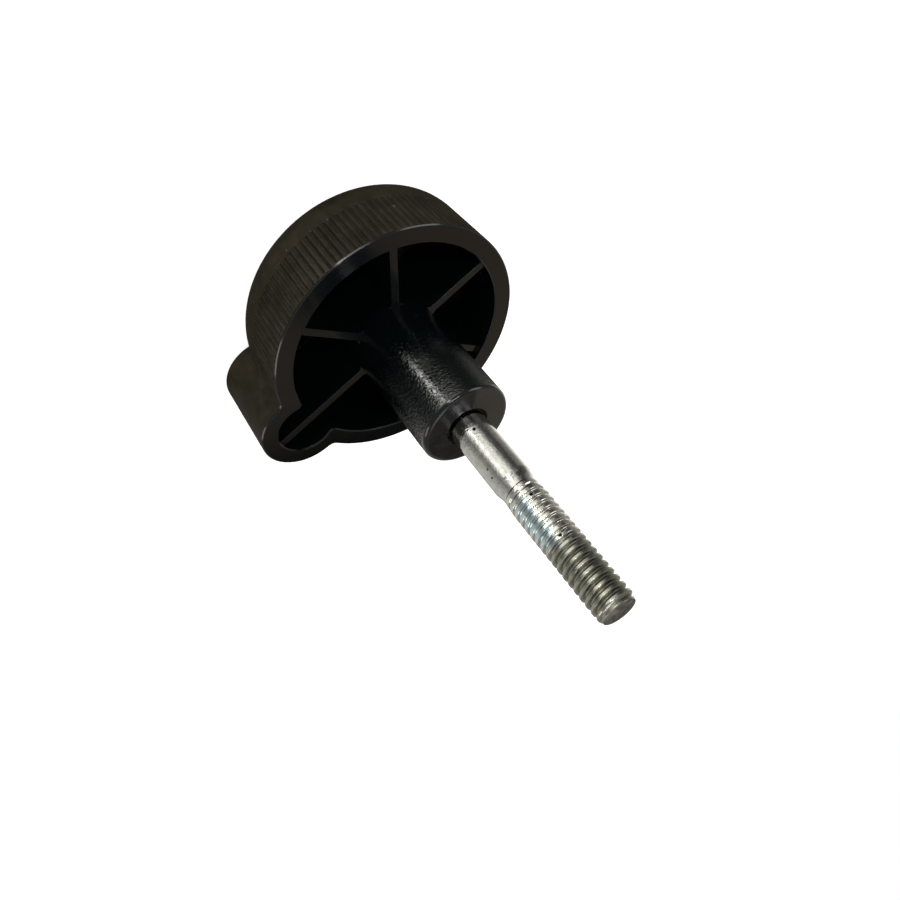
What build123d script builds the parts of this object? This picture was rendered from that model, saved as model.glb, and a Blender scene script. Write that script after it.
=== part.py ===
from build123d import *
import os
from math import cos, radians, sin, tan

os.makedirs("parts", exist_ok=True)

# Knob outside: the crown face lies on z = 0 and the open rim faces up
knob_diameter = 46.0
body_height = 17.7
side_draft = 1.6
shoulder_radius = 5.5
rim_edge_chamfer = 0.2

# Thumb lobe on +X, set back from the crown face by a hair
lobe_offset = 22.4
lobe_radius = 8.0
lobe_setback = 0.3
lobe_crown_chamfer = 0.9
lobe_root_radius = 1.6

# Straight knurl under a plain lip, left off round the lobe
knurl_count = 120
knurl_length = 9.4
knurl_lip = 0.35
knurl_depth = 0.28
knurl_overcut = 0.3
knurl_clear_angle = 28.5

# Inside of the cup
rim_wall = 3.3
floor_thickness = 2.7
lobe_pocket_offset = 22.0
lobe_pocket_radius = 5.2
lobe_pocket_corner = 1.0

# Ribs from the rim to the hub
rib_count = 6
rib_thickness = 1.35
rib_drop = 1.0
rib_hub_fillet = 0.9

# Hub
hub_diameter = 15.6
hub_rise = 22.0
hub_edge_radius = 0.9
recess_diameter = 7.5
recess_depth = 0.5

# Threaded stud, moulded in by its hexagonal head
stud_diameter = 6.35
stud_exposed = 38.1
stud_embedded = 25.4
shank_exposed = 12.9
neck_diameter = 5.7
neck_length = 1.6
thread_run_out = 1.0
thread_diameter = 6.2
tip_chamfer = 0.4
head_across_flats = 11.1
head_height = 4.0
head_chamfer = 0.4

knob_radius = knob_diameter / 2
crown_radius = knob_radius - body_height * tan(radians(side_draft))
cavity_radius = knob_radius - rim_wall
hub_radius = hub_diameter / 2
hub_face = body_height + hub_rise
rib_top = body_height - rib_drop
stud_radius = stud_diameter / 2
stud_tip = hub_face + stud_exposed
head_top = hub_face - stud_embedded
head_bottom = head_top - head_height
shank_end = hub_face + shank_exposed
neck_end = shank_end + neck_length
knurl_top = body_height - knurl_lip
knurl_top_radius = knob_radius - knurl_lip * tan(radians(side_draft))
groove_half_width = knurl_depth + knurl_overcut
groove_count = round((360 - 2 * knurl_clear_angle) / (360 / knurl_count)) + 1
groove_plane = Plane(
    origin=(knurl_top_radius, 0, knurl_top),
    x_dir=(cos(radians(side_draft)), 0, -sin(radians(side_draft))),
    z_dir=(-sin(radians(side_draft)), 0, -cos(radians(side_draft))),
)

# Threaded stud: head, shank, neck and the thread's outside in one piece
with BuildPart() as threaded_stud:
    with BuildSketch(Plane.XY.offset(head_bottom)):
        RegularPolygon(radius=head_across_flats / 2, side_count=6, major_radius=False)
    extrude(amount=head_height)
    chamfer(threaded_stud.faces().sort_by(Axis.Z)[0].edges(), length=head_chamfer)
    with BuildSketch(Plane.XZ):
        with BuildLine():
            Polyline(
                (0, head_top),
                (stud_radius, head_top),
                (stud_radius, shank_end),
                (neck_diameter / 2, neck_end),
                (thread_diameter / 2, neck_end + thread_run_out),
                (thread_diameter / 2, stud_tip - tip_chamfer),
                (thread_diameter / 2 - tip_chamfer, stud_tip),
                (0, stud_tip),
                close=True,
            )
        make_face()
    revolve(axis=Axis.Z)

# Knob body: cup, lobe, ribs and hub moulded as one
with BuildPart() as knob_body:
    # Cup, wider at the open rim by the draft, with its surface seam on the side away from the lobe
    with BuildSketch(Plane(origin=(0, 0, 0), x_dir=(-1, 0, 0))):
        Circle(crown_radius)
    extrude(amount=body_height, taper=-side_draft)
    fillet(knob_body.edges().group_by(Axis.Z)[0], radius=shoulder_radius)
    # Lobe, with its roots rounded into the cup
    with BuildSketch(Plane.XY.offset(lobe_setback)):
        with Locations((lobe_offset, 0)):
            Circle(lobe_radius)
    lobe = extrude(amount=body_height - lobe_setback, mode=Mode.PRIVATE)
    add(lobe.chamfer(lobe_crown_chamfer, None, lobe.edges().group_by(Axis.Z)[0]))
    fillet(knob_body.edges().filter_by(GeomType.BSPLINE), radius=lobe_root_radius)
    # Mouth of the cup and of the lobe's pocket
    with BuildSketch(Plane.XY.offset(rib_top)) as mouth:
        Circle(cavity_radius)
        with Locations((lobe_pocket_offset, 0)):
            Circle(lobe_pocket_radius)
        fillet(mouth.vertices(), radius=lobe_pocket_corner)
    extrude(amount=rib_drop, mode=Mode.SUBTRACT)
    # Pockets between the ribs, down to the floor
    with BuildSketch(Plane.XY.offset(floor_thickness)) as pockets:
        add(mouth.sketch_local)
        Circle(hub_radius, mode=Mode.SUBTRACT)
        with PolarLocations(0, rib_count):
            Rectangle(knob_diameter, rib_thickness, align=(Align.MIN, Align.CENTER), mode=Mode.SUBTRACT)
        near_hub = pockets.vertices().filter_by(lambda v: v.center().length < hub_radius + rib_thickness)
        fillet(near_hub, radius=rib_hub_fillet)
    extrude(amount=rib_top - floor_thickness, mode=Mode.SUBTRACT)
    chamfer(knob_body.edges().group_by(Axis.Z)[-1], length=rim_edge_chamfer)
    # Knurl: one groove leaning with the draft, repeated round the side
    with BuildSketch(groove_plane):
        Polygon(
            (-knurl_depth, 0),
            (knurl_overcut, groove_half_width),
            (knurl_overcut, -groove_half_width),
            align=None,
        )
    groove = extrude(amount=knurl_length, mode=Mode.PRIVATE)
    with PolarLocations(0, groove_count, knurl_clear_angle, 360 - 2 * knurl_clear_angle, endpoint=True):
        add(groove, mode=Mode.SUBTRACT)
    # Hub, with the stud's bed and a shallow recess round the shank
    with BuildSketch(Plane.XY.offset(floor_thickness)):
        Circle(hub_radius)
    extrude(amount=hub_face - floor_thickness)
    fillet(knob_body.edges().group_by(Axis.Z)[-1], radius=hub_edge_radius)
    add(threaded_stud.part, mode=Mode.SUBTRACT)
    with BuildSketch(Plane.XY.offset(hub_face)):
        Circle(recess_diameter / 2)
    extrude(amount=-recess_depth, mode=Mode.SUBTRACT)

knob_body.part.label = "knob_body"
threaded_stud.part.label = "threaded_stud"

export_step(knob_body.part, "parts/knob_body.step")
export_step(threaded_stud.part, "parts/threaded_stud.step")
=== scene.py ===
"""Looks for a knurled knob on a threaded stud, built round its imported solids."""

import math
from functools import reduce
from typing import NamedTuple

import bmesh
import bpy
from mathutils import Matrix, Vector, noise


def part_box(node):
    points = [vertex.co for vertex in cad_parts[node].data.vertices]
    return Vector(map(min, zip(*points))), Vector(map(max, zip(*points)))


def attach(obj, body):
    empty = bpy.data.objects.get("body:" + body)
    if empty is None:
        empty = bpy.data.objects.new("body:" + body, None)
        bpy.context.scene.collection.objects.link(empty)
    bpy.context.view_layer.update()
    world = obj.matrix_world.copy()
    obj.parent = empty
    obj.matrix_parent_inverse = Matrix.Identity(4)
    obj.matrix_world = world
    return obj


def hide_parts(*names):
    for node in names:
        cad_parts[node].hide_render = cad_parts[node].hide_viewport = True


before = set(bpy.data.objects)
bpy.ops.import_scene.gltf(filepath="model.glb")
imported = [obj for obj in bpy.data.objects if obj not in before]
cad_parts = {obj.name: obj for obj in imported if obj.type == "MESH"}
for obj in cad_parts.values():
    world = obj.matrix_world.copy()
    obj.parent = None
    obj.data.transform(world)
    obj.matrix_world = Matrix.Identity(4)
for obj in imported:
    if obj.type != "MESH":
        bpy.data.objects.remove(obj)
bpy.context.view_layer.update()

bl_info = {
    "name": "Knurled knob",
    "version": (1, 0, 0),
    "blender": (4, 5, 0),
    "location": "3D View > Sidebar > Knob",
    "description": "Finishes a moulded knurled knob and its rolled steel stud",
    "category": "Object",
}

MM = 0.001
BODY_NODE = "knob_body"
STUD_NODE = "threaded_stud"
ROOT = "root"
X, Y, Z = 0, 1, 2
WHITE = (1.0, 1.0, 1.0)


# Shader helpers

# Stretches of a noise's values that are spread over a whole range
WIDE = (0.25, 0.75)
NARROW = (0.3, 0.7)


def new_material(name):
    """An empty node material and its tree."""
    material = bpy.data.materials.new(name)
    material.use_nodes = True
    tree = material.node_tree
    tree.nodes.clear()
    return material, tree


def new_surface(name):
    """A material with its shader, and the object's own coordinates to paint it by."""
    material, tree = new_material(name)
    output = tree.nodes.new("ShaderNodeOutputMaterial")
    shader = tree.nodes.new("ShaderNodeBsdfPrincipled")
    feed(tree, output.inputs["Surface"], shader.outputs["BSDF"])
    place = tree.nodes.new("ShaderNodeTexCoord").outputs["Object"]
    return material, tree, shader, place


def feed(tree, target, value):
    """Give an input a number, a colour or the value of an output."""
    if isinstance(value, bpy.types.NodeSocket):
        tree.links.new(value, target)
    elif isinstance(value, (int, float)):
        target.default_value = value
    else:
        target.default_value = (*value[:3], 1.0)


def math_node(tree, operation, *values, clamp=False):
    """A math node fed by sockets or numbers."""
    node = tree.nodes.new("ShaderNodeMath")
    node.operation = operation
    node.use_clamp = clamp
    for target, value in zip(node.inputs, values):
        feed(tree, target, value)
    return node.outputs[0]


def product(tree, *factors):
    """Sockets or numbers multiplied together."""
    return reduce(lambda first, second: math_node(tree, "MULTIPLY", first, second), factors)


def greatest(tree, *values):
    """The greatest of several sockets or numbers."""
    return reduce(lambda first, second: math_node(tree, "MAXIMUM", first, second), values)


def multiply_add(tree, value, factor, addend):
    """A value times a factor, plus an addend."""
    return math_node(tree, "MULTIPLY_ADD", value, factor, addend)


def map_range(tree, value, low, high, to_low=0.0, to_high=1.0):
    """Value carried smoothly from one range to another, clamped."""
    node = tree.nodes.new("ShaderNodeMapRange")
    node.interpolation_type = "SMOOTHSTEP"
    for name, setting in (("Value", value), ("From Min", low), ("From Max", high),
                          ("To Min", to_low), ("To Max", to_high)):
        feed(tree, node.inputs[name], setting)
    return node.outputs["Result"]


def rise(tree, value, step):
    """0 below a soft step and 1 above it. The step's two ends are in millimetres."""
    return map_range(tree, value, step[0] * MM, step[1] * MM)


def fall(tree, value, step):
    """1 below a soft step and 0 above it. The step's two ends are in millimetres."""
    return map_range(tree, value, step[0] * MM, step[1] * MM, 1.0, 0.0)


def by_mask(tree, mask, without, within):
    """A number that goes from one value to another as a mask goes from 0 to 1."""
    return map_range(tree, mask, 0.0, 1.0, without, within)


def noise_node(tree, vector, size, detail, roughness, distortion=0.0):
    """Noise whose features are about the given size in metres."""
    node = tree.nodes.new("ShaderNodeTexNoise")
    node.noise_dimensions = "3D"
    for name, setting in (("Vector", vector), ("Scale", 1.0 / size), ("Detail", detail),
                          ("Roughness", roughness), ("Distortion", distortion)):
        feed(tree, node.inputs[name], setting)
    return node.outputs["Fac"]


def mix_colour(tree, factor, first, second):
    """Two colours, or colour sockets, mixed by a factor."""
    node = tree.nodes.new("ShaderNodeMix")
    node.data_type = "RGBA"
    feed(tree, node.inputs["Factor"], factor)
    feed(tree, node.inputs[6], first)
    feed(tree, node.inputs[7], second)
    return node.outputs[2]


def scale_colour(tree, colour, factor):
    """A colour made darker or lighter by a factor socket."""
    node = tree.nodes.new("ShaderNodeVectorMath")
    node.operation = "SCALE"
    feed(tree, node.inputs[0], colour)
    feed(tree, node.inputs["Scale"], factor)
    return node.outputs[0]


def axis_distance(tree, place, centre_x=0.0):
    """Distance from an upright axis on the XZ plane."""
    flat = tree.nodes.new("ShaderNodeCombineXYZ")
    feed(tree, flat.inputs[X], math_node(tree, "SUBTRACT", coordinate(tree, place, X), centre_x))
    feed(tree, flat.inputs[Y], coordinate(tree, place, Y))
    length = tree.nodes.new("ShaderNodeVectorMath")
    length.operation = "LENGTH"
    feed(tree, length.inputs[0], flat.outputs[0])
    return length.outputs["Value"]


def coordinate(tree, place, axis):
    """One coordinate of a place."""
    split = tree.nodes.new("ShaderNodeSeparateXYZ")
    feed(tree, split.inputs[0], place)
    return split.outputs[axis]


def bearing(tree, place):
    """Angle of a place round the upright axis, in radians from +X."""
    return math_node(tree, "ARCTAN2", coordinate(tree, place, Y), coordinate(tree, place, X))


def sector(tree, angle, middle, half_width, softness):
    """1 within a sector of bearings, 0 outside it, with soft edges. All but the bearing are in degrees."""
    turned = math_node(tree, "COSINE", math_node(tree, "SUBTRACT", angle, math.radians(middle)))
    away = math_node(tree, "ARCCOSINE", turned)
    near, far = math.radians(half_width - softness), math.radians(half_width + softness)
    return map_range(tree, away, near, far, 1.0, 0.0)


def band(tree, value, low, high, softness):
    """1 between two values, 0 outside them, with soft edges."""
    start = map_range(tree, value, low - softness, low + softness)
    end = map_range(tree, value, high - softness, high + softness, 1.0, 0.0)
    return product(tree, start, end)


def spots(tree, place, spacing, radius, share):
    """Small scattered spots: about the given spacing and radius, in a share of the cells."""
    cells = tree.nodes.new("ShaderNodeTexVoronoi")
    feed(tree, cells.inputs["Vector"], place)
    feed(tree, cells.inputs["Scale"], 1.0 / spacing)
    reach = radius / spacing
    near = map_range(tree, cells.outputs["Distance"], reach * 0.5, reach, 1.0, 0.0)
    chosen = math_node(tree, "LESS_THAN", coordinate(tree, cells.outputs["Color"], X), share)
    return product(tree, near, chosen)


def marks_at(tree, place, marks):
    """Single marks: 1 near any listed place, 0 outside its radius. Places and radii are in millimetres."""
    fields = []
    for x, y, z, radius in marks:
        offset = tree.nodes.new("ShaderNodeVectorMath")
        offset.operation = "DISTANCE"
        feed(tree, offset.inputs[0], place)
        offset.inputs[1].default_value = (x * MM, y * MM, z * MM)
        fields.append(fall(tree, offset.outputs["Value"], (radius * 0.6, radius)))
    return greatest(tree, *fields)


def bump(tree, height, distance, strength, normal=None):
    """Bump from a height between 0 and 1, of the given depth in metres."""
    node = tree.nodes.new("ShaderNodeBump")
    feed(tree, node.inputs["Strength"], strength)
    feed(tree, node.inputs["Distance"], distance)
    feed(tree, node.inputs["Height"], height)
    if normal is not None:
        feed(tree, node.inputs["Normal"], normal)
    return node.outputs["Normal"]


# Settings

class KnobPlasticSettings(bpy.types.PropertyGroup):
    """Finish of the moulded knob."""

    skin: bpy.props.FloatVectorProperty(
        name="Skin colour", description="Colour of the handled outside of the knob",
        default=(0.0162, 0.0130, 0.0067), size=3, subtype="COLOR", min=0.0, max=1.0)
    handled: bpy.props.FloatVectorProperty(
        name="Handled colour", description="Colour of the skin where hands have dulled it",
        default=(0.0275, 0.0226, 0.0120), size=3, subtype="COLOR", min=0.0, max=1.0)
    inside: bpy.props.FloatVectorProperty(
        name="Bare colour", description="Colour of the plastic where hands do not reach",
        default=(0.0014, 0.0028, 0.0030), size=3, subtype="COLOR", min=0.0, max=1.0)
    # Painted reflection: this brown on one side of the hub's end stands in for a reflection; the patch is
    # also dull
    film_and_reflection: bpy.props.FloatVectorProperty(
        name="Film colour", description="Colour of the dull film on one side of the hub's end",
        default=(0.0240, 0.0200, 0.0140), size=3, subtype="COLOR", min=0.0, max=1.0)
    dust: bpy.props.FloatVectorProperty(
        name="Dust colour", description="Colour of the small specks of dust",
        default=(0.16, 0.14, 0.11), size=3, subtype="COLOR", min=0.0, max=1.0)
    rim_radius: bpy.props.FloatProperty(
        name="Rim radius", description="Radius of the knob's side at the open rim",
        default=23.0 * MM, min=5 * MM, max=60 * MM, unit="LENGTH")
    rim_height: bpy.props.FloatProperty(
        name="Rim height", description="Height of the open rim over the crown face",
        default=17.7 * MM, min=3 * MM, max=60 * MM, unit="LENGTH")
    draft: bpy.props.FloatProperty(
        name="Draft", description="Lean of the knob's side",
        default=math.radians(1.6), min=0.0, max=0.2, subtype="ANGLE", unit="ROTATION")
    ridges: bpy.props.IntProperty(
        name="Ridges", description="Ridges that the knurl would have all round",
        default=120, min=10, max=400)
    knurl_clear: bpy.props.FloatProperty(
        name="Knurl clear angle", description="Plain sector on each side of the lobe",
        default=math.radians(28.5), min=0.0, max=3.0, subtype="ANGLE", unit="ROTATION")
    grain: bpy.props.FloatProperty(
        name="Grain size", description="Size of the moulded grain",
        default=0.42 * MM, min=0.05 * MM, max=2 * MM, unit="LENGTH")
    edge: bpy.props.FloatProperty(
        name="Edge radius", description="Radius that the shader gives to sharp edges",
        default=0.08 * MM, min=0.0, max=1 * MM, unit="LENGTH")


class KnobStudSettings(bpy.types.PropertyGroup):
    """Sizes and finish of the threaded stud."""

    pitch: bpy.props.FloatProperty(
        name="Thread pitch", description="Distance from one crest to the next",
        default=1.27 * MM, min=0.3 * MM, max=5 * MM, unit="LENGTH")
    depth: bpy.props.FloatProperty(
        name="Thread depth", description="From the crest to the root",
        default=0.52 * MM, min=0.1 * MM, max=2 * MM, unit="LENGTH")
    crest_radius: bpy.props.FloatProperty(
        name="Crest radius", description="From the stud's axis to a crest",
        default=3.1 * MM, min=1 * MM, max=10 * MM, unit="LENGTH")
    shank_radius: bpy.props.FloatProperty(
        name="Shank radius", description="Radius of the plain shank",
        default=3.175 * MM, min=1 * MM, max=10 * MM, unit="LENGTH")
    neck_radius: bpy.props.FloatProperty(
        name="Neck radius", description="Radius of the small end of the neck",
        default=2.85 * MM, min=1 * MM, max=10 * MM, unit="LENGTH")
    tip_radius: bpy.props.FloatProperty(
        name="Tip radius", description="Radius of the end face",
        default=2.7 * MM, min=1 * MM, max=5 * MM, unit="LENGTH")
    free_length: bpy.props.FloatProperty(
        name="Free length", description="From the hub's end to the tip",
        default=38.1 * MM, min=10 * MM, max=100 * MM, unit="LENGTH")
    shank_length: bpy.props.FloatProperty(
        name="Shank length", description="Plain shank that shows above the hub",
        default=12.9 * MM, min=1 * MM, max=80 * MM, unit="LENGTH")
    neck_length: bpy.props.FloatProperty(
        name="Neck length", description="Tapered neck between the shank and the thread",
        default=1.6 * MM, min=0.2 * MM, max=10 * MM, unit="LENGTH")
    head_across_flats: bpy.props.FloatProperty(
        name="Head across flats", description="Width of the hidden hexagonal head",
        default=11.1 * MM, min=3 * MM, max=30 * MM, unit="LENGTH")
    head_height: bpy.props.FloatProperty(
        name="Head height", description="Height of the hidden hexagonal head",
        default=4.0 * MM, min=1 * MM, max=20 * MM, unit="LENGTH")
    steel: bpy.props.FloatVectorProperty(
        name="Steel colour", description="Plated steel of the shank",
        default=(0.49, 0.49, 0.47), size=3, subtype="COLOR", min=0.0, max=1.0)
    # Painted shade and dirt: this colour darkens the thread's roots as painted shade, and marks the pits and
    # specks
    grime_and_root_shade: bpy.props.FloatVectorProperty(
        name="Grime colour", description="Dirt in the thread's roots and in the pits",
        default=(0.085, 0.080, 0.068), size=3, subtype="COLOR", min=0.0, max=1.0)
    rolled: bpy.props.FloatVectorProperty(
        name="Rolled colour", description="Plated steel of the first turns, away from the blue side",
        default=(0.60, 0.595, 0.54), size=3, subtype="COLOR", min=0.0, max=1.0)
    # Painted reflection: this blue-white is laid on one side of the first turns, where it stands in for a
    # reflection
    zinc: bpy.props.FloatVectorProperty(
        name="Zinc colour", description="Blue-white zinc on one side of the first turns",
        default=(0.53, 0.625, 0.65), size=3, subtype="COLOR", min=0.0, max=1.0)
    worn_zinc: bpy.props.FloatVectorProperty(
        name="Worn zinc colour", description="Dull olive zinc towards the tip",
        default=(0.31, 0.315, 0.265), size=3, subtype="COLOR", min=0.0, max=1.0)


class KnobStageSettings(bpy.types.PropertyGroup):
    """Camera, lamps and floor."""

    camera_place: bpy.props.FloatVectorProperty(
        name="Camera place", description="Where the camera stands",
        default=(-0.006373, -0.105818, 0.109152), size=3, subtype="TRANSLATION", unit="LENGTH")
    camera_aim: bpy.props.FloatVectorProperty(
        name="Camera aim", description="The point that the camera looks at",
        default=(0.005662, 0.011380, 0.033523), size=3, subtype="TRANSLATION", unit="LENGTH")
    camera_roll: bpy.props.FloatProperty(
        name="Camera roll", description="Turn of the camera about its own view, against the clock",
        default=math.radians(141.94), subtype="ANGLE", unit="ROTATION")
    lens: bpy.props.FloatProperty(
        name="Lens", description="Focal length in millimetres on a 36 mm frame",
        default=32.0, min=8.0, max=200.0)
    floor_size: bpy.props.FloatProperty(
        name="Floor size", description="Width of the floor",
        default=8.0, min=0.5, max=40.0, unit="LENGTH")
    fill: bpy.props.FloatProperty(
        name="Fill light", description="Strength of the plain light that comes from all round",
        default=0.30, min=0.0, max=2.0)
    room_tint: bpy.props.FloatVectorProperty(
        name="Room tint", description="Colour of the room that the rim and the hub's end mirror",
        default=(1.0, 0.80, 0.62), size=3, subtype="COLOR", min=0.0, max=1.0)


# Knob body

# Soft steps from one surface of the moulding to the next: both ends of each, in millimetres.
# First radii, from the knob's axis or from that of the lobe's pocket
OUTSIDE = (20.5, 21.5)
HUB_SIDE = (7.9, 8.1)
LOBE_POCKET_X = 22.0
LOBE_POCKET = (5.3, 5.5)
# Then heights over the crown face
RIM_TOP = (17.40, 17.50)
KNURL_START = (8.4, 8.9)
HUB_START = (16.9, 17.3)
GRAIN_END = (38.7, 39.1)
HUB_END = (39.3, 39.6)
# Last the depth under the drafted side
INTO_GROOVE = (0.03, 0.24)

# Noises of the finish: size in metres, detail, roughness and distortion
CLOUDS = (9 * MM, 4.0, 0.6)
SMEARS = (2.5 * MM, 5.0, 0.65, 0.6)
GLINTS = (0.36 * MM, 1.5, 0.55, 0.4)
GRAIN_DETAIL = 2.0
GRAIN_ROUGHNESS = 0.6

# What the marks do to the skin's colour, as factors from none of the mark to all of it. The smears vary
# the tone; the groove and fine line factors are painted shade in the knurl, lighter between the fine lines
SMEAR_SHADE = (0.78, 1.22)
GROOVE_SHADE = (1.0, 0.68)
FINE_LINE_SHADE = (1.12, 0.55)

# The knurl's shading starts raggedly, up to this many metres lower with the smears, and its fine lines
# sway by up to this many radians, a whole turn being one ridge. Then the soft edge of a fine line, on the
# cosine of that angle, and of the plain sector round the lobe, in radians
RAGGED_START = 1.6 * MM
FINE_LINE_SWAY = 1.2
FINE_LINE_EDGE = (0.60, 0.95)
LOBE_EDGE = 0.03

# The painted reflection, on a dull patch of the hub's end: middle, half width and softness of its sector in
# degrees, and how far its edges waver, in radians
REFLECTION_SECTOR = (178.0, 60.0, 7.0)
REFLECTION_WAVER = 0.3

# Scattered dust: spacing and radius in metres, share of the cells, and strength
DUST = (3.2 * MM, 0.13 * MM, 0.10)
DUST_STRENGTH = 0.35

# Specks of dust on the side: X, Y, Z and radius in millimetres
DUST_SPECKS = ((3.1, -22.6, 7.1, 0.22), (-4.9, -22.3, 8.0, 0.20), (-14.2, -17.9, 11.1, 0.20))

# Roughness of the dull skin, the share of it that bare plastic keeps, and how dull the hub's end is
SKIN_ROUGHNESS = (0.38, 0.52)
BARE_SHARE = 0.28
HUB_END_DULL = 0.45
SPECULAR_LEVEL = 0.4

# Depth of the moulded relief in metres, and its strength on bare and on handled plastic
WAVE_DEPTH = 0.04 * MM
WAVE_STRENGTH = (0.02, 0.4)
GRAIN_DEPTH = 0.06 * MM
GRAIN_STRENGTH = (0.02, 0.3)
BEVEL_SAMPLES = 6

# The sparkling coat on the hub's side
GLINT_DEPTH = 0.060 * MM
COAT_ROUGHNESS = 0.05
COAT_IOR = 1.5


def knurl_shades(tree, place, radius, height, below_rim, smears, settings):
    """Masks of the knurl's painted shade: in its cut grooves and in a fine line between each two of them."""
    turn = bearing(tree, place)
    ragged = multiply_add(tree, smears, RAGGED_START, height)
    on_knurl = product(tree, rise(tree, ragged, KNURL_START), below_rim)
    lean = math.tan(settings.draft)
    drafted = multiply_add(tree, height, lean, settings.rim_radius - settings.rim_height * lean)
    depth = math_node(tree, "SUBTRACT", drafted, radius)
    groove_shade = product(tree, rise(tree, depth, INTO_GROOVE), on_knurl)
    swaying = multiply_add(tree, turn, settings.ridges, product(tree, smears, FINE_LINE_SWAY))
    fine_line_shade = map_range(tree, math_node(tree, "COSINE", swaying), *FINE_LINE_EDGE)
    from_lobe = math_node(tree, "ABSOLUTE", turn)
    off_lobe = map_range(tree, from_lobe, settings.knurl_clear, settings.knurl_clear + LOBE_EDGE)
    return groove_shade, product(tree, fine_line_shade, on_knurl, off_lobe)


def plastic_material(settings):
    """Black moulded plastic: brown-black handled skin with painted shade in the knurl, near-black grained
    inside, dull wear, a painted reflection on one side of the hub's end, and dust.
    """
    material, tree, shader, place = new_surface("black_moulded_plastic")
    radius = axis_distance(tree, place)
    height = coordinate(tree, place, Z)
    clouds = noise_node(tree, place, *CLOUDS)
    smears = noise_node(tree, place, *SMEARS)

    below_rim = fall(tree, height, RIM_TOP)
    off_pocket = rise(tree, axis_distance(tree, place, LOBE_POCKET_X * MM), LOBE_POCKET)
    handled = product(tree, rise(tree, radius, OUTSIDE), below_rim, off_pocket)
    hub = product(tree, fall(tree, radius, HUB_SIDE), rise(tree, height, HUB_START))
    hub_end = product(tree, hub, rise(tree, height, HUB_END))
    # Painted reflection: a wavering sector of the hub's end is coloured brown, and made dull
    wavering = multiply_add(tree, clouds, REFLECTION_WAVER, bearing(tree, place))
    film_and_reflection = product(tree, hub_end, sector(tree, wavering, *REFLECTION_SECTOR))

    skin = mix_colour(tree, map_range(tree, clouds, *NARROW), settings.skin, settings.handled)
    skin = scale_colour(tree, skin, map_range(tree, smears, *WIDE, *SMEAR_SHADE))
    # Painted shade: the knurl's grooves and fine lines are darkened in the colour, the skin between the lines
    # lightened
    groove_shade, fine_line_shade = knurl_shades(tree, place, radius, height, below_rim, smears, settings)
    skin = scale_colour(tree, skin, by_mask(tree, groove_shade, *GROOVE_SHADE))
    skin = scale_colour(tree, skin, by_mask(tree, fine_line_shade, *FINE_LINE_SHADE))
    colour = mix_colour(tree, handled, settings.inside, skin)
    colour = mix_colour(tree, film_and_reflection, colour, settings.film_and_reflection)
    scattered = product(tree, spots(tree, place, *DUST), DUST_STRENGTH)
    dust = greatest(tree, scattered, marks_at(tree, place, DUST_SPECKS))
    colour = mix_colour(tree, dust, colour, settings.dust)
    feed(tree, shader.inputs["Base Color"], colour)

    dull = greatest(tree, handled, film_and_reflection, product(tree, hub_end, HUB_END_DULL))
    rough = map_range(tree, smears, *WIDE, *SKIN_ROUGHNESS)
    feed(tree, shader.inputs["Roughness"], product(tree, rough, by_mask(tree, dull, BARE_SHARE, 1.0)))
    shader.inputs["Specular IOR Level"].default_value = SPECULAR_LEVEL

    bevel = tree.nodes.new("ShaderNodeBevel")
    bevel.samples = BEVEL_SAMPLES
    bevel.inputs["Radius"].default_value = settings.edge
    strength = by_mask(tree, handled, *WAVE_STRENGTH)
    waves = bump(tree, smears, WAVE_DEPTH, strength, bevel.outputs["Normal"])
    grain = noise_node(tree, place, settings.grain, GRAIN_DETAIL, GRAIN_ROUGHNESS)
    fine = bump(tree, grain, GRAIN_DEPTH, by_mask(tree, handled, *GRAIN_STRENGTH), waves)

    sparkling = product(tree, hub, fall(tree, height, GRAIN_END))
    glints = bump(tree, noise_node(tree, place, *GLINTS), GLINT_DEPTH, sparkling, fine)
    feed(tree, shader.inputs["Normal"], glints)
    feed(tree, shader.inputs["Coat Normal"], glints)
    feed(tree, shader.inputs["Coat Weight"], sparkling)
    shader.inputs["Coat Roughness"].default_value = COAT_ROUGHNESS
    shader.inputs["Coat IOR"].default_value = COAT_IOR
    return material


class KNOB_OT_body(bpy.types.Operator):
    """Finish the moulded knob body"""

    bl_idname = "knob.body"
    bl_label = "Knob body"

    def execute(self, context):
        settings = context.scene.knob_plastic
        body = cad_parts[BODY_NODE]
        body.data.materials.clear()
        body.data.materials.append(plastic_material(settings))
        body.data.shade_smooth()
        return {"FINISHED"}


# Threaded stud

TURN_SEGMENTS = 96
# Rows of the thread's profile up to its root, as shares of the pitch from the crest's middle
PROFILE_STEPS = (0.0, 0.045, 0.075, 0.105, 0.16, 0.22, 0.28, 0.33, 0.36, 0.40, 0.45)
# Half widths of the crests, broad on the first turns and sharper on the full ones, and where the root
# starts, as shares of the pitch. Then how far the flanks are rounded, from 0 to 1
BROAD_CREST = 0.24
FULL_CREST = 0.15
ROOT_START = 0.43
FLANK_SOFTNESS = 0.55

# The first turns are rolled to a share of the full depth. Past the neck's end, in metres: the stretch that
# flares out to the crests' radius, the one where the thread forms and the one where it fills out
FIRST_TURNS_DEPTH = 0.62
FLARE_LENGTH = 3.2 * MM
FORMING = (0.10 * MM, 2.6 * MM)
FILLING = (8 * MM, 14 * MM)

# The thread closes to the tip's radius between these distances below the tip, in metres
CLOSING = (1.1 * MM, 0.25 * MM)

# Unevenness of the rolled crests: its depth in metres, the length of stud that counts as much as a
# radian of turn, in metres, and how fine it is
UNEVEN_DEPTH = 0.018 * MM
UNEVEN_LENGTH = 4 * MM
UNEVEN_FINENESS = 2.6

# The thread's sheet starts this far inside the neck and ends this far below the tip
SHEET_START = 0.2 * MM
SHEET_END = 0.12 * MM

# Rings round the shank's end: inset from its radius and height over its end, in millimetres
SHANK_END_RINGS = ((0.06, 0.16), (0.012, 0.02), (0.0, -0.10))
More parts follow.
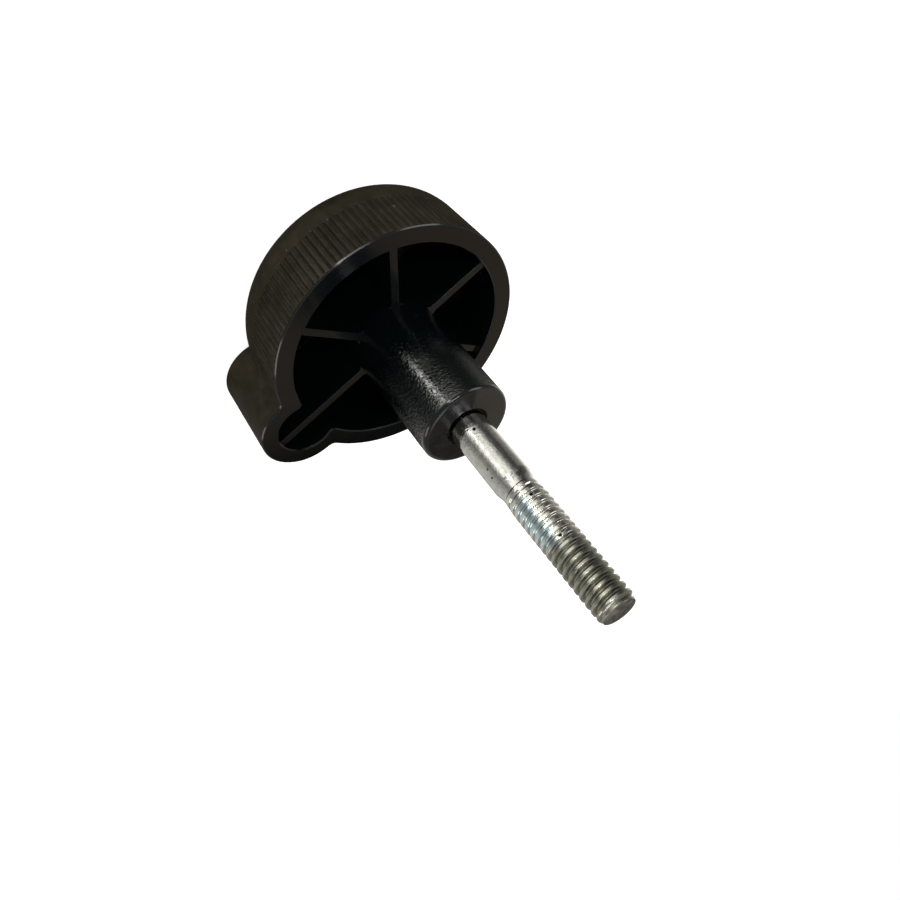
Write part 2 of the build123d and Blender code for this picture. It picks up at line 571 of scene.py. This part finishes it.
# Height of one more ring over the hub's face, and the chamfer under the head, in metres
SHANK_RING = 6 * MM
HEAD_CHAMFER = 0.4 * MM

# Rings of the dished end face: inset from the tip's radius and drop from the tip, in millimetres
TIP_RINGS = ((0.03, 0.045), (0.10, 0.008), (0.20, 0.0), (0.45, 0.012), (0.9, 0.05), (1.5, 0.085), (2.1, 0.10))
DISH_DEPTH = 0.105 * MM

# Edges that turn by more than this stay sharp. Places are at one level when this close, in metres
SHARP_ANGLE = math.radians(38)
LEVEL_TOLERANCE = 1e-7


class StudHeights(NamedTuple):
    """Heights of the stud's parts, in metres."""

    hub_face: float
    shank_end: float
    neck_end: float
    tip: float


def stud_heights(settings):
    """Heights of the stud's parts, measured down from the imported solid's tip."""
    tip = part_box(STUD_NODE)[1].z
    hub_face = tip - settings.free_length
    shank_end = hub_face + settings.shank_length
    return StudHeights(hub_face, shank_end, shank_end + settings.neck_length, tip)


def mix(first, second, share):
    """A number that goes from the first to the second as the share goes from 0 to 1."""
    return first + (second - first) * share


def ramp(value, low, high):
    """0 below low, 1 above high and straight between."""
    return min(1.0, max(0.0, (value - low) / (high - low)))


def thread_rise(share, filled):
    """Height over the root, 0 to 1, at a share of a pitch from the crest's middle, as the turns fill out."""
    across = abs(share - math.floor(share + 0.5))
    crest = mix(BROAD_CREST, FULL_CREST, filled)
    climb = min(1.0, max(0.0, (ROOT_START - across) / (ROOT_START - crest)))
    soft = climb * climb * (3.0 - 2.0 * climb)
    return mix(climb, soft, FLANK_SOFTNESS)


def thread_radius(z, angle, settings, heights):
    """Radius of the rolled thread, its run-out at the neck and its fade at the tip."""
    past_neck = z - heights.neck_end
    blank = mix(settings.shank_radius, settings.neck_radius, ramp(z, heights.shank_end, heights.neck_end))
    blank += (settings.crest_radius - settings.neck_radius) * ramp(past_neck, 0.0, FLARE_LENGTH)
    filled = ramp(past_neck, *FILLING)
    formed = ramp(past_neck, *FORMING) * mix(FIRST_TURNS_DEPTH, 1.0, filled)
    rise_here = thread_rise(past_neck / settings.pitch - angle / math.tau, filled)
    radius = blank - settings.depth * formed * (1.0 - rise_here)
    place = Vector((math.cos(angle), math.sin(angle), z / UNEVEN_LENGTH)) * UNEVEN_FINENESS
    radius += UNEVEN_DEPTH * noise.noise(place) * formed * rise_here
    closing = ramp(z, heights.tip - CLOSING[0], heights.tip - CLOSING[1])
    radius = mix(radius, settings.tip_radius, closing * closing)
    if z < heights.tip:
        return min(radius, settings.tip_radius + (heights.tip - z))
    return settings.tip_radius


def move_loop(verts, radius_at, z):
    """Put a ring's vertices at a height, each at the radius that its own angle gives."""
    for vert in verts:
        angle = math.atan2(vert.co.y, vert.co.x)
        radius = radius_at(angle)
        vert.co = (radius * math.cos(angle), radius * math.sin(angle), z)


def extrude_ring(mesh, edges, radius_at, z):
    """Grow a ring of edges to a new radius and height, and return the new ring."""
    grown = bmesh.ops.extrude_edge_only(mesh, edges=edges)["geom"]
    verts = [item for item in grown if isinstance(item, bmesh.types.BMVert)]
    move_loop(verts, radius_at, z)
    return [item for item in grown if isinstance(item, bmesh.types.BMEdge)]


def close_ring(mesh, edges, z):
    """Fill a ring with triangles round a middle point."""
    centre = mesh.verts.new((0.0, 0.0, z))
    for edge in edges:
        mesh.faces.new((edge.verts[0], edge.verts[1], centre))


def ring_edges(mesh, z):
    """Open edges that lie at a height."""
    return [edge for edge in mesh.edges
            if edge.is_boundary and all(abs(vert.co.z - z) < LEVEL_TOLERANCE for vert in edge.verts)]


def thread_sheet(mesh, settings, low, high):
    """Helical sheet of the thread, a little longer than the stretch that is kept."""
    far_side = [1.0 - step for step in PROFILE_STEPS[1:]]
    shares = sorted([*PROFILE_STEPS, 0.5, *far_side])
    heights = stud_heights(settings)
    neck_end = heights.neck_end
    first = math.floor((low - neck_end) / settings.pitch) - 1
    last = math.ceil((high - neck_end) / settings.pitch)
    rows = [turn + share for turn in range(first, last + 1) for share in shares]
    grid = []
    for row in rows:
        line = []
        for segment in range(TURN_SEGMENTS):
            angle = math.tau * segment / TURN_SEGMENTS
            z = neck_end + (row + segment / TURN_SEGMENTS) * settings.pitch
            radius = thread_radius(z, angle, settings, heights)
            line.append(mesh.verts.new((radius * math.cos(angle), radius * math.sin(angle), z)))
        grid.append(line)
    count = len(shares)
    for index in range(len(rows) - 1):
        for segment in range(TURN_SEGMENTS):
            if segment + 1 < TURN_SEGMENTS:
                right, right_up = grid[index][segment + 1], grid[index + 1][segment + 1]
            elif index + 1 + count < len(rows):
                right, right_up = grid[index + count][0], grid[index + 1 + count][0]
            else:
                continue
            mesh.faces.new((grid[index][segment], right, right_up, grid[index + 1][segment]))


def cut_level(mesh, z, keep_above):
    """Cut the sheet at a height and drop one side of it."""
    geometry = mesh.verts[:] + mesh.edges[:] + mesh.faces[:]
    bmesh.ops.bisect_plane(
        mesh, geom=geometry, dist=LEVEL_TOLERANCE, plane_co=(0, 0, z), plane_no=(0, 0, 1),
        clear_inner=keep_above, clear_outer=not keep_above)
    loose = [vert for vert in mesh.verts if not vert.link_faces]
    bmesh.ops.delete(mesh, geom=loose, context="VERTS")


def stud_mesh(settings):
    """Mesh of the whole stud: hidden head, shank, neck, thread and tip."""
    heights = stud_heights(settings)
    head_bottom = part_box(STUD_NODE)[0].z
    head_top = head_bottom + settings.head_height
    half_flats = settings.head_across_flats / 2
    shank = settings.shank_radius
    sheet_start = heights.neck_end - SHEET_START
    sheet_end = heights.tip - SHEET_END
    mesh = bmesh.new()
    thread_sheet(mesh, settings, sheet_start, sheet_end)
    cut_level(mesh, sheet_start, keep_above=True)
    cut_level(mesh, sheet_end, keep_above=False)

    def round_at(radius):
        return lambda angle: radius

    def hexagon_at(inset):
        sixth = math.tau / 6
        return lambda angle: (half_flats - inset) / math.cos(angle % sixth - sixth / 2)

    ring = ring_edges(mesh, sheet_start)
    for inset, over_end in SHANK_END_RINGS:
        ring = extrude_ring(mesh, ring, round_at(shank - inset * MM), heights.shank_end + over_end * MM)
    for radius_at, z in (
        (round_at(shank), heights.hub_face + SHANK_RING),
        (round_at(shank), heights.hub_face),
        (round_at(shank), head_top),
        (hexagon_at(0.0), head_top),
        (hexagon_at(0.0), head_bottom + HEAD_CHAMFER),
        (hexagon_at(HEAD_CHAMFER), head_bottom),
    ):
        ring = extrude_ring(mesh, ring, radius_at, z)
    close_ring(mesh, ring, head_bottom)

    ring = ring_edges(mesh, sheet_end)
    for inset, drop in TIP_RINGS:
        ring = extrude_ring(mesh, ring, round_at(settings.tip_radius - inset * MM), heights.tip - drop * MM)
    close_ring(mesh, ring, heights.tip - DISH_DEPTH)
    bmesh.ops.recalc_face_normals(mesh, faces=mesh.faces[:])
    return mesh


# Noises of the plating: size in metres, detail, roughness and distortion
ZINC_CLOUDS = (2.6 * MM, 5.0, 0.6, 0.4)
ZINC_PATCHES = (0.9 * MM, 4.0, 0.65)
ZINC_GRAIN = (0.38 * MM, 2.0, 0.6, 0.3)

# Where the plating changes along the thread: both ends of each soft step, in metres from the neck's end,
# and how far the clouds can shift the painted blue reflection and the worn zinc
THREAD_START = (-0.5 * MM, 2.5 * MM)
BLUE_REFLECTION_START = (4.5 * MM, 7.0 * MM)
WORN_START = (12 * MM, 17 * MM)
ROOT_SHADE_START = (1 * MM, 6 * MM)
CLOUD_SHIFT = 6 * MM

# The painted blue reflection on one side: its first and last bearing and their softness in degrees, and how
# far they wander in radians
BLUE_REFLECTION_SIDE = (-58.0, 2.0, 9.0)
BLUE_REFLECTION_WANDER = 1.1

# Painted shade lies on the thread's root and ends between these heights over it, in metres.
# Under the painted blue reflection it is lighter, and keeps this share of it
ROOT_SHADE_REACH = (0.02 * MM, 0.20 * MM)
UNDER_BLUE_SHARE = 0.45

# What the patches do to the colour, as factors. The painted root shade is thinner where their noise is low:
# two values of the noise, and the share of the shade at each
PATCH_SHADE = (0.82, 1.10)
PATCHY_ROOT_SHADE = (0.25, 0.6, 0.5, 1.0)

# Scattered pits and specks: spacing and radius in metres, and share of the cells
SMALL_PITS = (1.9 * MM, 0.16 * MM, 0.30)
SPECKS = (0.62 * MM, 0.06 * MM, 0.35)
SPECK_STRENGTH = 0.6

# Single deep pits in the stud, and the brown stain on its neck: X, Y, Z and radius in millimetres
STUD_PITS = ((-0.72, -3.09, 42.87, 0.36), (-1.08, -2.91, 57.5, 0.36), (-0.56, -3.05, 65.2, 0.36),
             (1.88, -2.56, 51.1, 0.24), (1.60, -2.74, 49.6, 0.20))
PIT_COLOUR = (0.010, 0.010, 0.009)
NECK_STAIN = ((-2.3, -1.9, 53.0, 0.9), (-1.5, -2.5, 53.4, 0.5))
STAIN_COLOUR = (0.11, 0.07, 0.035)
STAIN_STRENGTH = 0.55

# Roughness of clean plating, and what marks, the shaded roots and wear add to it
PLATE_ROUGHNESS = (0.05, 0.12)
MARK_ROUGHNESS = 0.35
ROOT_SHADE_ROUGHNESS = 0.25
WORN_ROUGHNESS = 0.13

# Depth of the plating's relief in metres, and the strength of its dents
DENT_DEPTH = 0.050 * MM
DENT_STRENGTH = 0.7
ZINC_GRAIN_DEPTH = 0.028 * MM


def zinc_material(settings):
    """Zinc-plated rolled steel: grainy, with a painted blue-white reflection on one side of the first turns,
    painted shade in the thread's roots, dull and stained towards the tip.
    """
    material, tree, shader, place = new_surface("zinc_plated_steel")
    shader.inputs["Metallic"].default_value = 1.0
    height = coordinate(tree, place, Z)
    neck_end = stud_heights(settings).neck_end
    clouds = noise_node(tree, place, *ZINC_CLOUDS)
    patches = noise_node(tree, place, *ZINC_PATCHES)

    def past_neck(value, step):
        return map_range(tree, value, neck_end + step[0], neck_end + step[1])

    shifted = multiply_add(tree, clouds, CLOUD_SHIFT, height)
    worn = past_neck(shifted, WORN_START)
    # Painted reflection: a blue-white band on one side of the first turns, by bearing, stands in for a
    # reflection
    wander = multiply_add(tree, clouds, BLUE_REFLECTION_WANDER, bearing(tree, place))
    blue_reflection = band(tree, wander, *(math.radians(angle) for angle in BLUE_REFLECTION_SIDE))
    blue_reflection = product(tree, blue_reflection, past_neck(shifted, BLUE_REFLECTION_START))
    turns = mix_colour(tree, blue_reflection, settings.rolled, settings.zinc)
    plate = mix_colour(tree, past_neck(height, THREAD_START), settings.steel, turns)
    colour = mix_colour(tree, worn, plate, settings.worn_zinc)
    colour = scale_colour(tree, colour, map_range(tree, patches, *NARROW, *PATCH_SHADE))

    # Painted shade: the thread's roots are darkened towards this colour, less under the painted blue
    # reflection
    root_radius = settings.crest_radius - settings.depth
    low, high = root_radius + ROOT_SHADE_REACH[0], root_radius + ROOT_SHADE_REACH[1]
    at_root = map_range(tree, axis_distance(tree, place), low, high, 1.0, 0.0)
    patchy = map_range(tree, patches, *PATCHY_ROOT_SHADE)
    grime_and_root_shade = product(tree, at_root, past_neck(height, ROOT_SHADE_START), patchy)
    root_shade = product(tree, grime_and_root_shade, by_mask(tree, blue_reflection, 1.0, UNDER_BLUE_SHARE))
    colour = mix_colour(tree, root_shade, colour, settings.grime_and_root_shade)
    specks = product(tree, spots(tree, place, *SPECKS), SPECK_STRENGTH)
    marks = greatest(tree, spots(tree, place, *SMALL_PITS), specks)
    colour = mix_colour(tree, marks, colour, settings.grime_and_root_shade)
    deep_pits = marks_at(tree, place, STUD_PITS)
    colour = mix_colour(tree, deep_pits, colour, PIT_COLOUR)
    stain = product(tree, marks_at(tree, place, NECK_STAIN), STAIN_STRENGTH)
    colour = mix_colour(tree, stain, colour, STAIN_COLOUR)
    feed(tree, shader.inputs["Base Color"], colour)

    rough = map_range(tree, patches, *NARROW, *PLATE_ROUGHNESS)
    rough = multiply_add(tree, greatest(tree, marks, deep_pits), MARK_ROUGHNESS, rough)
    rough = math_node(tree, "ADD", rough, product(tree, grime_and_root_shade, ROOT_SHADE_ROUGHNESS))
    rough = math_node(tree, "ADD", rough, by_mask(tree, worn, 0.0, WORN_ROUGHNESS), clamp=True)
    feed(tree, shader.inputs["Roughness"], rough)

    dents = bump(tree, patches, DENT_DEPTH, DENT_STRENGTH)
    grain = noise_node(tree, place, *ZINC_GRAIN)
    feed(tree, shader.inputs["Normal"], bump(tree, grain, ZINC_GRAIN_DEPTH, 1.0, dents))
    return material


class KNOB_OT_stud(bpy.types.Operator):
    """Build the threaded stud in place of its plain solid"""

    bl_idname = "knob.stud"
    bl_label = "Threaded stud"

    def execute(self, context):
        settings = context.scene.knob_stud
        data = bpy.data.meshes.new("rolled_stud")
        mesh = stud_mesh(settings)
        mesh.to_mesh(data)
        mesh.free()
        data.shade_smooth()
        data.set_sharp_from_angle(angle=SHARP_ANGLE)
        stud = bpy.data.objects.new("rolled_stud", data)
        context.scene.collection.objects.link(stud)
        data.materials.append(zinc_material(settings))
        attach(stud, ROOT)
        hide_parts(STUD_NODE)
        return {"FINISHED"}


# Stage

# Width of the camera's frame in millimetres, and the nearest distance that it sees, in metres
SENSOR_WIDTH = 36.0
NEAREST_SEEN = 0.001

# Lamps: name, bearing and height in degrees, distance in metres, width and height in metres, power, colour
LAMP_AIM_HEIGHT = 0.035
WARM = (1.0, 0.92, 0.80)
LAMPS = (
    ("key_lamp", -97.0, 6.0, 0.60, (0.08, 0.16), 0.9, WHITE),
    ("edge_lamp", -110.0, 41.0, 0.60, (0.24, 0.04), 0.8, WHITE),
    ("top_lamp", 60.0, 75.0, 0.70, (0.40, 0.40), 1.2, WHITE),
    ("left_lamp", -10.0, 20.0, 0.70, (0.30, 0.30), 0.9, WARM),
    ("right_lamp", -165.0, 25.0, 0.70, (0.30, 0.30), 0.9, WHITE),
)

FLOOR_COLOUR = (0.8, 0.8, 0.8)
FLOOR_GLOW = 0.8
# Colour of the floor's painted glow, seen only in reflections
MIRROR_COLOUR = (1.0, 0.985, 0.92)

# The floor's painted light, a glow seen only in reflections. Starts are soft steps in millimetres from the
# stud's axis, and sectors are the middle, half width and softness of a range of bearings in degrees
UNDER_KNOB_SHADOW = 0.04
PALE_SIDES = ((6.0, 20.0, 14.0), (160.0, 14.0, 14.0))
PALE_START = (32, 38)
PALE_GAIN = 0.10
STREAK_SECTOR = (-87.0, 3.2, 1.2)
STREAK_START = (43, 46)
STREAK_GAIN = 9.0
SET_START = (61, 66)

# The painted set that polished steel mirrors past the knob, a glow of the floor: bearing in degrees and
# strength of the light
SURROUNDINGS = (
    (-180, 0.22), (-165, 0.09), (-150, 0.12), (-138, 0.30), (-126, 0.85), (-112, 1.70), (-98, 1.60),
    (-86, 2.30), (-74, 1.90), (-65, 0.60), (-52, 0.32), (-36, 0.40), (-20, 0.65), (0, 0.78), (25, 0.82),
    (45, 0.70), (64, 0.40), (80, 0.55), (104, 1.25), (134, 1.15), (150, 0.46), (166, 0.32), (180, 0.22),
)
BRIGHTEST = 2.4

# The room in reflections: Z of a low and of a high direction, and the strength of the light from each.
# The tint starts between two heights, in a sector of bearings, all in degrees
ROOM_LIGHT = (0.0, 0.9, 0.46, 0.40)
TINT_START = (22.0, 30.0)
TINT_SECTOR = (88.0, 45.0, 10.0)

# Dark patches of the room: first and last degree and softness, of bearing and then of height
LOW_PATCH = ((66.0, 89.5, 0.8), (27.0, 40.3, 0.6))
HIGH_PATCH = ((80.5, 90.5, 1.0), (45.5, 53.0, 0.8))
PATCH_LIGHT = 0.06

# The low patch leans: its bearing shifts by this share of its height past this degree
SLANT = 1.2
SLANT_FROM = 34.0


def aim_matrix(place, aim, roll):
    """Matrix of a camera or lamp at a place, looking at a point, turned by a roll."""
    forward = (Vector(aim) - Vector(place)).normalized()
    right = forward.cross(Vector((0, 0, 1))).normalized()
    up = right.cross(forward)
    turned_right = right * math.cos(roll) + up * math.sin(roll)
    turned_up = up * math.cos(roll) - right * math.sin(roll)
    turn = Matrix((turned_right, turned_up, -forward)).transposed().to_4x4()
    return Matrix.Translation(Vector(place)) @ turn


def add_camera(settings):
    """Camera at the photograph's place, angle and roll."""
    data = bpy.data.cameras.new("camera")
    camera = bpy.data.objects.new("camera", data)
    bpy.context.scene.collection.objects.link(camera)
    data.sensor_width = SENSOR_WIDTH
    data.lens = settings.lens
    data.clip_start = NEAREST_SEEN
    camera.matrix_world = aim_matrix(settings.camera_place, settings.camera_aim, settings.camera_roll)
    bpy.context.scene.camera = camera


def add_area_lamp(name, angle, lift, distance, size, power, colour):
    """Soft lamp at a bearing and a height in degrees and a distance in metres, turned to the knob."""
    data = bpy.data.lights.new(name, "AREA")
    data.shape = "RECTANGLE"
    data.size, data.size_y = size
    data.energy = power
    data.color = colour
    angle, lift = math.radians(angle), math.radians(lift)
    aim = Vector((0.0, 0.0, LAMP_AIM_HEIGHT))
    way = Vector((math.cos(angle) * math.cos(lift), math.sin(angle) * math.cos(lift), math.sin(lift)))
    lamp = bpy.data.objects.new(name, data)
    bpy.context.scene.collection.objects.link(lamp)
    lamp.matrix_world = aim_matrix(aim + distance * way, aim, 0.0)


def ray_kinds(tree):
    """Sockets that are 1 for camera rays and for glossy or transmission rays."""
    path = tree.nodes.new("ShaderNodeLightPath")
    mirrored = greatest(tree, path.outputs["Is Glossy Ray"], path.outputs["Is Transmission Ray"])
    return path.outputs["Is Camera Ray"], mirrored


def surroundings(tree, angle):
    """Strength of the mirrored surroundings at a bearing."""
    node = tree.nodes.new("ShaderNodeValToRGB")
    scale = node.color_ramp
    scale.interpolation = "EASE"
    while len(scale.elements) > 1:
        scale.elements.remove(scale.elements[-1])
    for index, (degrees, strength) in enumerate(SURROUNDINGS):
        position = (degrees + 180) / 360
        point = scale.elements[0] if index == 0 else scale.elements.new(position)
        point.position = position
        share = strength / BRIGHTEST
        point.color = (share, share, share, 1.0)
    feed(tree, node.inputs["Fac"], multiply_add(tree, angle, 1.0 / math.tau, 0.5))
    return product(tree, node.outputs["Color"], BRIGHTEST)


def painted_floor_glow(tree):
    """Strength of the floor's glow in reflections: painted shadow under the knob, a painted bright streak,
    and a painted lit set beyond.
    """
    place = tree.nodes.new("ShaderNodeNewGeometry").outputs["Position"]
    angle = bearing(tree, place)
    away = axis_distance(tree, place)
    streak = product(tree, sector(tree, angle, *STREAK_SECTOR), rise(tree, away, STREAK_START))
    sides = greatest(tree, *(sector(tree, angle, *side) for side in PALE_SIDES))
    near = multiply_add(tree, product(tree, sides, rise(tree, away, PALE_START)), PALE_GAIN, UNDER_KNOB_SHADOW)
    near = multiply_add(tree, streak, STREAK_GAIN, near)
    beyond = math_node(tree, "SUBTRACT", surroundings(tree, angle), near)
    return multiply_add(tree, rise(tree, away, SET_START), beyond, near)


def floor_material():
    """White floor that keeps a soft shadow; for reflections only it glows with painted light, a set with dark
    and bright sides.
    """
    material, tree = new_material("white_floor")
    output = tree.nodes.new("ShaderNodeOutputMaterial")
    camera_ray, mirrored = ray_kinds(tree)
    diffuse = tree.nodes.new("ShaderNodeBsdfDiffuse")
    feed(tree, diffuse.inputs["Color"], FLOOR_COLOUR)
    glow = tree.nodes.new("ShaderNodeEmission")
    feed(tree, glow.inputs["Strength"], product(tree, camera_ray, FLOOR_GLOW))
    seen = tree.nodes.new("ShaderNodeAddShader")
    feed(tree, seen.inputs[0], diffuse.outputs[0])
    feed(tree, seen.inputs[1], glow.outputs[0])
    # Painted light: for reflections only, the floor glows with a painted shadow, a streak and a set
    mirror_glow = tree.nodes.new("ShaderNodeEmission")
    feed(tree, mirror_glow.inputs["Color"], MIRROR_COLOUR)
    feed(tree, mirror_glow.inputs["Strength"], painted_floor_glow(tree))
    both = tree.nodes.new("ShaderNodeMixShader")
    feed(tree, both.inputs[0], mirrored)
    feed(tree, both.inputs[1], seen.outputs[0])
    feed(tree, both.inputs[2], mirror_glow.outputs[0])
    feed(tree, output.inputs["Surface"], both.outputs[0])
    return material


def add_floor(settings):
    """Floor under the crown face."""
    half = settings.floor_size / 2
    corners = [(-half, -half, 0), (half, -half, 0), (half, half, 0), (-half, half, 0)]
    mesh = bpy.data.meshes.new("floor")
    mesh.from_pydata(corners, [], [(0, 1, 2, 3)])
    floor = bpy.data.objects.new("floor", mesh)
    bpy.context.scene.collection.objects.link(floor)
    mesh.materials.append(floor_material())


def dark_patches(tree, azimuth, lift):
    """1 on the dark parts of the room that the knob's rim mirrors, 0 beside them. All in degrees."""
    slant = product(tree, math_node(tree, "SUBTRACT", lift, SLANT_FROM), SLANT)
    slanted = math_node(tree, "ADD", azimuth, slant)
    low = product(tree, band(tree, slanted, *LOW_PATCH[0]), band(tree, lift, *LOW_PATCH[1]))
    high = product(tree, band(tree, azimuth, *HIGH_PATCH[0]), band(tree, lift, *HIGH_PATCH[1]))
    return greatest(tree, low, high)


def add_world(settings):
    """World that is white to the camera, a plain soft light to the object and a dim room in reflections."""
    world = bpy.data.worlds.new("studio")
    bpy.context.scene.world = world
    world.use_nodes = True
    tree = world.node_tree
    tree.nodes.clear()
    output = tree.nodes.new("ShaderNodeOutputWorld")
    background = tree.nodes.new("ShaderNodeBackground")
    feed(tree, output.inputs["Surface"], background.outputs[0])
    camera_ray, mirrored = ray_kinds(tree)
    direction = tree.nodes.new("ShaderNodeTexCoord").outputs["Generated"]
    angle = bearing(tree, direction)
    up = coordinate(tree, direction, Z)
    in_degrees = 180.0 / math.pi
    lift = product(tree, math_node(tree, "ARCSINE", up), in_degrees)

    behind = product(tree, map_range(tree, lift, *TINT_START), sector(tree, angle, *TINT_SECTOR))
    tint = mix_colour(tree, product(tree, behind, mirrored), WHITE, settings.room_tint)
    feed(tree, background.inputs["Color"], tint)
    room = map_range(tree, up, *ROOM_LIGHT)
    level = multiply_add(tree, mirrored, math_node(tree, "SUBTRACT", room, settings.fill), settings.fill)
    dark = dark_patches(tree, product(tree, angle, in_degrees), lift)
    level = product(tree, level, by_mask(tree, dark, 1.0, PATCH_LIGHT))
    feed(tree, background.inputs["Strength"], greatest(tree, level, camera_ray))


class KNOB_OT_stage(bpy.types.Operator):
    """Add the camera, the lamps, the floor and the world"""

    bl_idname = "knob.stage"
    bl_label = "Stage"

    def execute(self, context):
        settings = context.scene.knob_stage
        add_camera(settings)
        add_floor(settings)
        add_world(settings)
        for lamp in LAMPS:
            add_area_lamp(*lamp)
        context.scene.view_settings.view_transform = "Standard"
        return {"FINISHED"}


class KNOB_PT_panel(bpy.types.Panel):
    """The knob's settings and steps"""

    bl_idname = "KNOB_PT_panel"
    bl_label = "Knurled knob"
    bl_space_type = "VIEW_3D"
    bl_region_type = "UI"
    bl_category = "Knob"

    def draw(self, context):
        layout = self.layout
        for settings in (context.scene.knob_plastic, context.scene.knob_stud, context.scene.knob_stage):
            box = layout.box()
            for name in settings.__annotations__:
                box.prop(settings, name)
        for operator in (KNOB_OT_body, KNOB_OT_stud, KNOB_OT_stage):
            layout.operator(operator.bl_idname)


CLASSES = (
    KnobPlasticSettings,
    KnobStudSettings,
    KnobStageSettings,
    KNOB_OT_body,
    KNOB_OT_stud,
    KNOB_OT_stage,
    KNOB_PT_panel,
)


def register():
    for cls in CLASSES:
        bpy.utils.register_class(cls)
    bpy.types.Scene.knob_plastic = bpy.props.PointerProperty(type=KnobPlasticSettings)
    bpy.types.Scene.knob_stud = bpy.props.PointerProperty(type=KnobStudSettings)
    bpy.types.Scene.knob_stage = bpy.props.PointerProperty(type=KnobStageSettings)


def unregister():
    del bpy.types.Scene.knob_stage
    del bpy.types.Scene.knob_stud
    del bpy.types.Scene.knob_plastic
    for cls in reversed(CLASSES):
        bpy.utils.unregister_class(cls)


def main():
    register()
    bpy.ops.knob.body()
    bpy.ops.knob.stud()
    bpy.ops.knob.stage()


if __name__ == "__main__":
    main()
